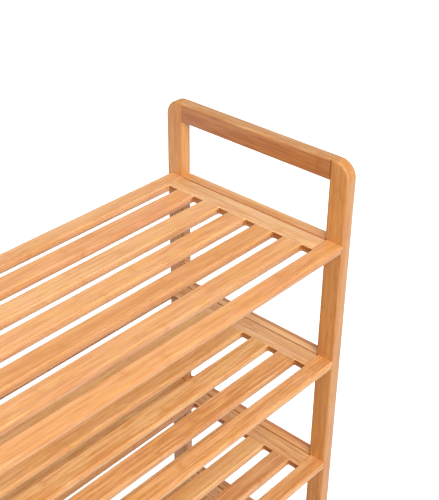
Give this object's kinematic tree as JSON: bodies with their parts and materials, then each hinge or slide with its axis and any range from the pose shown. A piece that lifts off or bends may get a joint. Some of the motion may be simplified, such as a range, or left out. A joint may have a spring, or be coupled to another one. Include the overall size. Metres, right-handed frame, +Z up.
{
  "type": "tiered shoe rack",
  "caption": "Slatted bamboo shoe rack with open tiered shelves between two post-and-rail end frames that rise into carrying handles.",
  "frame": {"origin": "on the floor under the middle of the rack", "axes": "+X along the shelves to the right-hand end frame, -Y is the front, +Z up"},
  "size_m": [0.7, 0.28, 0.7],
  "materials": {
    "posts": "satin lacquered bamboo",
    "handles": "satin lacquered bamboo",
    "cross_rails": "satin lacquered bamboo",
    "slats": "satin lacquered bamboo",
    "long_rails": "satin lacquered bamboo",
    "end_rails": "satin lacquered bamboo",
    "dowels": "bare hardwood",
    "screws": "zinc-plated steel"
  },
  "bodies": {
    "root": {"left_front_post": "posts", "left_back_post": "posts", "left_handle_rail": "handles", "left_cross_rail_1": "cross_rails", "left_cross_rail_2": "cross_rails", "left_cross_rail_3": "cross_rails", "left_cross_rail_4": "cross_rails", "right_front_post": "posts", "right_back_post": "posts", "right_handle_rail": "handles", "right_cross_rail_1": "cross_rails", "right_cross_rail_2": "cross_rails", "right_cross_rail_3": "cross_rails", "right_cross_rail_4": "cross_rails", "shelf1_front_rail": "long_rails", "shelf1_back_rail": "long_rails", "shelf1_left_end_rail": "end_rails", "shelf1_right_end_rail": "end_rails", "shelf1_slat_1": "slats", "shelf1_slat_2": "slats", "shelf1_slat_3": "slats", "shelf1_slat_4": "slats", "shelf1_slat_5": "slats", "shelf2_front_rail": "long_rails", "shelf2_back_rail": "long_rails", "shelf2_left_end_rail": "end_rails", "shelf2_right_end_rail": "end_rails", "shelf2_slat_1": "slats", "shelf2_slat_2": "slats", "shelf2_slat_3": "slats", "shelf2_slat_4": "slats", "shelf2_slat_5": "slats", "shelf3_front_rail": "long_rails", "shelf3_back_rail": "long_rails", "shelf3_left_end_rail": "end_rails", "shelf3_right_end_rail": "end_rails", "shelf3_slat_1": "slats", "shelf3_slat_2": "slats", "shelf3_slat_3": "slats", "shelf3_slat_4": "slats", "shelf3_slat_5": "slats", "shelf4_front_rail": "long_rails", "shelf4_back_rail": "long_rails", "shelf4_left_end_rail": "end_rails", "shelf4_right_end_rail": "end_rails", "shelf4_slat_1": "slats", "shelf4_slat_2": "slats", "shelf4_slat_3": "slats", "shelf4_slat_4": "slats", "shelf4_slat_5": "slats", "frame_dowels": "dowels", "shelf_screws": "screws"}
  },
  "joints": []
}
